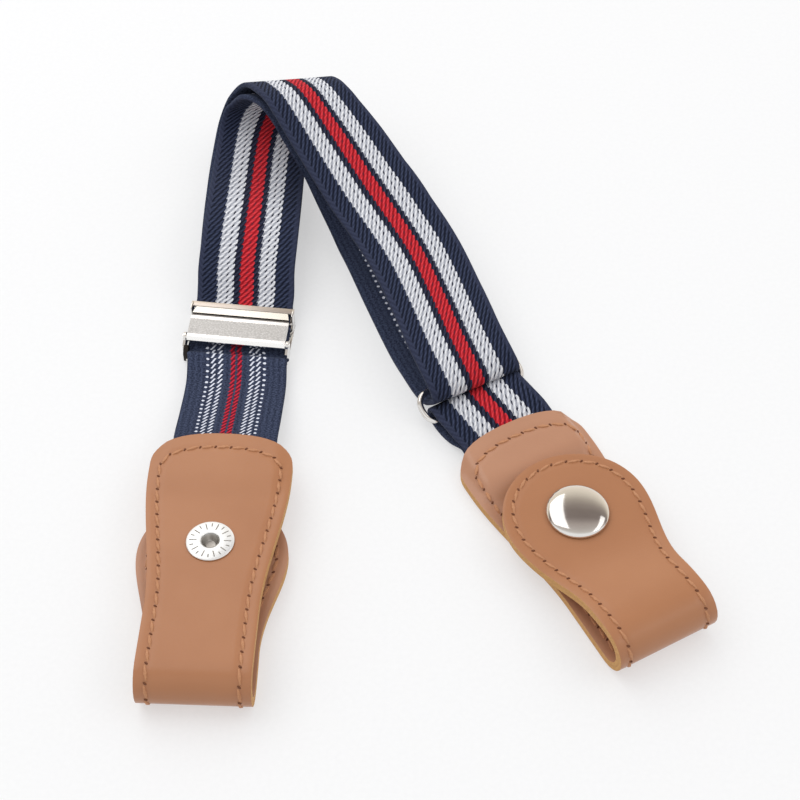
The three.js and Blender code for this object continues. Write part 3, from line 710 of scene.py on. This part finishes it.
side_points = side_view()
side_lengths = [0.0]
for before, after in zip(side_points, side_points[1:]):
    side_lengths.append(side_lengths[-1] + (after - before).length)
leather_length = side_lengths[-1]
flap_snap = side_lengths[-1 - flap_reach]


def tab_half(distance):
    """Half the leather's width at a distance from the head's end, along the strip."""
    if distance < leather_length / 2:
        wide, tip, roundness, narrow_from, narrow_to = 16.9, 9.5, 2.4, 12, 50
    else:
        wide, tip, roundness, narrow_from, narrow_to = 17.5, 17, 2, 17, 41
        distance = leather_length - distance
    if distance < tip:
        rest = (tip - distance) / tip
        return wide * (1 - rest ** roundness) ** (1 / roundness)
    share = min(max((distance - narrow_from) / (narrow_to - narrow_from), 0), 1)
    return wide + (waist_half - wide) * share * share * (3 - 2 * share)


def smooth_step(low, high, value):
    share = min(max((value - low) / (high - low), 0), 1)
    return share * share * (3 - 2 * share)


def swelling(across, distance):
    """From 1 where the head covers the webbing to 0 where the plies meet."""
    return (1 - smooth_step(11.8, 19.8, distance)) * (1 - smooth_step(12.9, 16.2, abs(across)))


def fold_up(shape, tab_place):
    """Bends a flat shape (across, along the strip, height) into the tab's folded form."""
    for vert in shape.verts:
        across, distance, height = vert.co
        number = min(max(bisect.bisect_right(side_lengths, distance) - 1, 0),
                     len(side_lengths) - 2)
        share = (distance - side_lengths[number]) / (side_lengths[number + 1]
                                                     - side_lengths[number])
        point = side_points[number].lerp(side_points[number + 1], share)
        headings = []
        for here in (number, number + 1):
            before = side_points[max(here - 1, 0)]
            after = side_points[min(here + 1, len(side_points) - 1)]
            headings.append((after - before).normalized())
        heading = headings[0].lerp(headings[1], share).normalized()
        inward = Vector((0, heading.y, -heading.x))
        vert.co = tab_place @ (Vector((across, point.x, point.y))
                               + inward * (height - leather_thick / 2))
    shape.normal_update()
    bmesh.ops.recalc_face_normals(shape, faces=shape.faces)


tip_steps = [0.02, 0.12, 0.35, 0.75, 1.3, 2.1, 3.0, 4.1, 5.3, 6.6, 7.8, 9.0]
rows_along = tip_steps + [9 + (leather_length - 18) * step / 82 for step in range(1, 82)]
rows_along += [leather_length - distance for distance in reversed(tip_steps)]


def seam():
    """One seam that runs all round as the places of its holes, further inside the edge at the
    head's end than at the flap's."""
    edge = [Vector((tab_half(distance), distance, 0)) for distance in rows_along]
    edge += [Vector((-point.x, point.y, 0)) for point in reversed(edge)]
    inset = []
    for number, here in enumerate(edge):
        heading = (edge[(number + 1) % len(edge)] - edge[number - 1]).normalized()
        from_edge = (2.6 + 1.7 * (1 - smooth_step(2, 10, here.y))
                     - 0.4 * smooth_step(leather_length - 14, leather_length - 4, here.y))
        inset.append(here + Vector((-heading.y, heading.x, 0)) * from_edge)
    inset.append(inset[0])
    travelled = [0.0]
    for before, after in zip(inset, inset[1:]):
        travelled.append(travelled[-1] + (after - before).length)
    count = round(travelled[-1] / stitch_pitch)
    points = []
    for number in range(count):
        place = travelled[-1] * number / count
        span = bisect.bisect_right(travelled, place) - 1
        share = (place - travelled[span]) / (travelled[span + 1] - travelled[span])
        points.append(inset[span].lerp(inset[span + 1], share))
    return points


holes = seam()
seam_tree = kdtree.KDTree(10 * len(holes))
for number, hole in enumerate(holes):
    for step in range(10):
        seam_tree.insert(hole.lerp(holes[number - 1], step / 10), 10 * number + step)
seam_tree.balance()


def leather_ply(name, ply, tab_place, swell_out, swell_in, materials, node):
    """One ply: cut flat with its snap holes, given its thickness, then folded."""
    shape = bmesh.new()
    from_seam = shape.verts.layers.float.new("from_seam")
    bmesh.ops.create_grid(shape, x_segments=34, y_segments=len(rows_along) - 1, size=1)
    for vert in shape.verts:
        distance = rows_along[round((vert.co.y + 1) / 2 * (len(rows_along) - 1))]
        vert.co = (vert.co.x * tab_half(distance), distance, 0)
    for centre in (head_reach, flap_snap):
        middle = Vector((0, centre, 0))
        cut = [face for face in shape.faces if (face.calc_center_median() - middle).length < 3.4]
        bmesh.ops.delete(shape, geom=cut, context="FACES")
        ragged = [edge for edge in shape.edges if edge.is_boundary
                  and (edge.verts[0].co - middle).length < 6]
        grown = bmesh.ops.extrude_edge_only(shape, edges=ragged)["geom"]
        for vert in (part for part in grown if isinstance(part, bmesh.types.BMVert)):
            vert.co = middle + (vert.co - middle).normalized() * snap_hole
    raised = bmesh.ops.extrude_face_region(shape, geom=shape.faces[:])["geom"]
    raised = {part for part in raised if isinstance(part, bmesh.types.BMVert)}
    for vert in shape.verts:
        across, distance, _ = vert.co
        swell = swelling(across, distance)
        thick = 0.9 + 0.13 * (1 - swell)
        if ply == "outer":
            height = -swell_out * swell + (thick if vert in raised else 0)
        else:
            height = leather_thick + swell_in * swell - (0 if vert in raised else thick)
        vert[from_seam] = seam_tree.find(vert.co)[2]
        vert.co.z = height
    shape.normal_update()
    bmesh.ops.recalc_face_normals(shape, faces=shape.faces)
    for face in shape.faces:
        face.material_index = 1 if abs(face.normal.z) < 0.4 else 0
    corners = [edge for edge in shape.edges
               if {face.material_index for face in edge.link_faces} == {0, 1}]
    bmesh.ops.bevel(shape, geom=corners, offset=0.12, offset_type="OFFSET", affect="EDGES",
                    segments=2, profile=0.5, material=-1, clamp_overlap=True)
    fold_up(shape, tab_place)
    return keep_piece(name, shape, materials, "leather", node, sharp=50)


def tanned(name, light, dark):
    """Smooth leather with fine pores, drawn in along the seam."""
    material, tree, shader = start_material(name, 0.34)
    where = tree.nodes.new("ShaderNodeTexCoord").outputs["Object"]
    place = tree.nodes.new("ShaderNodeAttribute")
    place.attribute_name = "from_seam"
    cloud = noise(tree, where, 60, 3)
    pores = tree.nodes.new("ShaderNodeTexVoronoi")
    pores.inputs["Scale"].default_value = 1500
    tree.links.new(where, pores.inputs["Vector"])
    tree.links.new(mix(tree, cloud, light, dark), shader.inputs["Base Color"])
    pulled = maths(tree, "SMOOTH_MIN", 1, maths(tree, "DIVIDE", place.outputs["Fac"], 1.5), 0.3)
    surface = maths(tree, "MULTIPLY_ADD", pores.outputs["Distance"], 0.1, pulled)
    surface = maths(tree, "MULTIPLY_ADD", cloud, 0.15, surface)
    bump(tree, shader, surface, 0.00012)
    tree.links.new(maths(tree, "MULTIPLY_ADD", cloud, 0.12, 0.27), shader.inputs["Roughness"])
    return material


# The inner ply, which shows on the right tab's head and the left tab's flap, is painted a little
# paler and pinker: painted sheen that stands in for the soft gloss on the right tab's head.
leather = tanned("smooth_tan_leather", dye(182, 125, 86), dye(168, 111, 73))
lining = tanned("tan_leather_painted_sheen", dye(192, 142, 112), dye(180, 128, 97))

cut_edge, tree, shader = start_material("raw_leather_edge", 0.8)
where = tree.nodes.new("ShaderNodeTexCoord").outputs["Object"]
fibre = noise(tree, where, 1600, 4)
tree.links.new(mix(tree, fibre, dye(214, 168, 104), dye(172, 120, 66)),
               shader.inputs["Base Color"])
bump(tree, shader, fibre, 0.0001)

thread, tree, shader = start_material("tan_thread", 0.6)
where = tree.nodes.new("ShaderNodeTexCoord").outputs["Object"]
twist = noise(tree, where, 2500, 2)
tree.links.new(mix(tree, twist, dye(206, 150, 108), dye(170, 112, 74)), shader.inputs["Base Color"])
bump(tree, shader, twist, 0.0001)

# Dark brown spots at the needle holes: painted shade in the holes.
needle_hole_shade, tree, shader = start_material("needle_hole_shade", 0.8)
where = tree.nodes.new("ShaderNodeTexCoord").outputs["Object"]
tree.links.new(mix(tree, noise(tree, where, 1800, 3), dye(126, 76, 47), dye(92, 52, 30)),
               shader.inputs["Base Color"])

thread_size, thread_skew = (1.72, 0.46, 0.4), math.radians(10)
hole_size, hole_skew = (0.5, 0.26, 0.3), math.radians(60)


def stitches(name, tab_place, swell_out, swell_in):
    """The thread on both faces, a little askew from hole to hole, and the holes it pulls open,
    drawn as dark spots of painted shade.
    """
    shape = bmesh.new()
    for number, after in enumerate(holes):
        before = holes[number - 1]
        middle = (before + after) / 2
        heading = math.atan2((after - before).y, (after - before).x)
        for spot, turn, size, material in (
                (middle, heading + thread_skew, thread_size, 0),
                (after, heading + hole_skew, hole_size, 1)):
            swell = swelling(spot.x, spot.y)
            for height in (-swell_out * swell, leather_thick + swell_in * swell):
                made = bmesh.ops.create_uvsphere(shape, u_segments=6, v_segments=4, radius=1)
                bmesh.ops.transform(
                    shape, verts=made["verts"],
                    matrix=Matrix.Translation((spot.x, spot.y, height))
                    @ Matrix.Rotation(turn, 4, "Z") @ Matrix.Diagonal((*size, 1)))
                for face in {face for vert in made["verts"] for face in vert.link_faces}:
                    face.material_index = material
    fold_up(shape, tab_place)
    return keep_piece(name, shape, [thread, needle_hole_shade], "leather")


for side, tab_place, swell_out, swell_in in (("left", left_tab_place, 0.65, 0.65),
                                             ("right", right_tab_place, 0, 2.6)):
    for ply, face in (("outer", leather), ("inner", lining)):
        leather_ply(f"{side}_{ply}_ply", ply, tab_place, swell_out, swell_in,
                    [face, cut_edge], f"{side}_tab_leather")
    stitches(f"{side}_stitches", tab_place, swell_out, swell_in)

# The snaps
# Four pressed and plated pieces on each tab: a domed cap whose post holds the socket under the
# flap, and a stud whose hollow shank is rolled over a washer on the base's outer face.
cap_seat = 7.6
satin = metal("satin_nickel", dye(190, 187, 182), 0.32, 0.00001, 0.08)

# The washers flash white all over, which takes a partly matt plate.
polished = metal("polished_nickel", dye(252, 252, 250), 0.25, 0.000003, 0.05)
polished.node_tree.nodes["Principled BSDF"].inputs["Metallic"].default_value = 0.35
# The washers' ticks are a darker grey than the washers.
darker_tick_metal = metal("darker_tick_nickel", dye(150, 147, 142), 0.4, 0.00001, 0.08)


def turn_on_lathe(name, profile, tab_place, material, slot, node):
    """Spins a closed profile of (radius, height) points round the snap's axis."""
    shape = bmesh.new()
    points = [shape.verts.new((radius, 0, height)) for radius, height in profile]
    edges = [shape.edges.new(pair) for pair in zip(points, points[1:])]
    bmesh.ops.spin(shape, geom=points + edges, cent=(0, 0, 0), axis=(0, 0, 1),
                   angle=2 * math.pi, steps=64, use_merge=True)
    bmesh.ops.remove_doubles(shape, verts=shape.verts, dist=0.0005)
    bmesh.ops.recalc_face_normals(shape, faces=shape.faces)
    bmesh.ops.transform(shape, matrix=tab_place, verts=shape.verts)
    return keep_piece(name, shape, [material], slot, node)


dome = [(7.4 * math.cos(angle), cap_seat + 0.35 + 1.9 * math.sin(angle))
        for angle in (math.radians(6 * step) for step in range(15))] + [(0, cap_seat + 2.25)]
cap_profile = [(0, 4.75), (1.6, 4.75), (1.6, cap_seat), (6.95, cap_seat),
               (7.25, cap_seat + 0.05), (7.4, cap_seat + 0.2)] + dome
socket_profile = [(2.45, 3.1), (4.1, 3.1), (4.2, 3.2), (4.3, 4.4), (5.2, 4.55), (5.3, 4.7),
                  (5.3, 4.95), (5.2, 5.05), (1.95, 5.05), (1.95, 4.7), (2.45, 4.45), (2.45, 3.1)]
stud_profile = [(0, 1.2), (1.1, 1.15), (1.5, 0.7), (1.85, -0.3), (2.0, -0.52), (2.1, -0.45),
                (2.05, -0.2), (1.95, 2.35), (4.7, 2.35), (4.8, 2.45), (4.8, 2.65), (4.65, 2.75),
                (1.7, 2.85), (2.0, 3.3), (2.05, 3.55), (1.95, 3.85), (1.7, 4.15), (0, 4.15)]
washer_profile = [(2.15, -0.2), (2.15, -0.5), (2.3, -0.64), (2.6, -0.66), (4.9, -0.6),
                  (5.3, -0.52), (5.5, -0.38), (5.5, -0.2), (2.15, -0.2)]
washer_ticks = 20
for side, tab_place in (("left", left_tab_place), ("right", right_tab_place)):
    turn_on_lathe(f"{side}_cap", cap_profile, tab_place, bright_plate, "plated_metal",
                  f"{side}_snap_cap")
    turn_on_lathe(f"{side}_socket", socket_profile, tab_place, satin, "satin_metal",
                  f"{side}_snap_socket")
    turn_on_lathe(f"{side}_stud", stud_profile, tab_place, satin, "satin_metal",
                  f"{side}_snap_stud")
    turn_on_lathe(f"{side}_washer", washer_profile, tab_place, polished, "plated_metal",
                  f"{side}_stud_washer")
    ticks = bmesh.new()
    for number in range(washer_ticks):
        inner, outer = ((3.1, 4.8), (3.9, 4.8))[number % 2]
        made = bmesh.ops.create_cube(ticks, size=1)["verts"]
        bmesh.ops.transform(
            ticks, verts=made,
            matrix=tab_place @ Matrix.Rotation(2 * math.pi * number / washer_ticks, 4, "Z")
            @ Matrix.Translation(((inner + outer) / 2, 0, -0.62))
            @ Matrix.Diagonal((outer - inner, 0.24, 0.12, 1)))
    bmesh.ops.bevel(ticks, geom=ticks.edges[:], offset=0.04, offset_type="OFFSET",
                    affect="EDGES", segments=1, profile=0.5, material=-1)
    keep_piece(f"{side}_washer_ticks", ticks, [darker_tick_metal], "plated_metal")
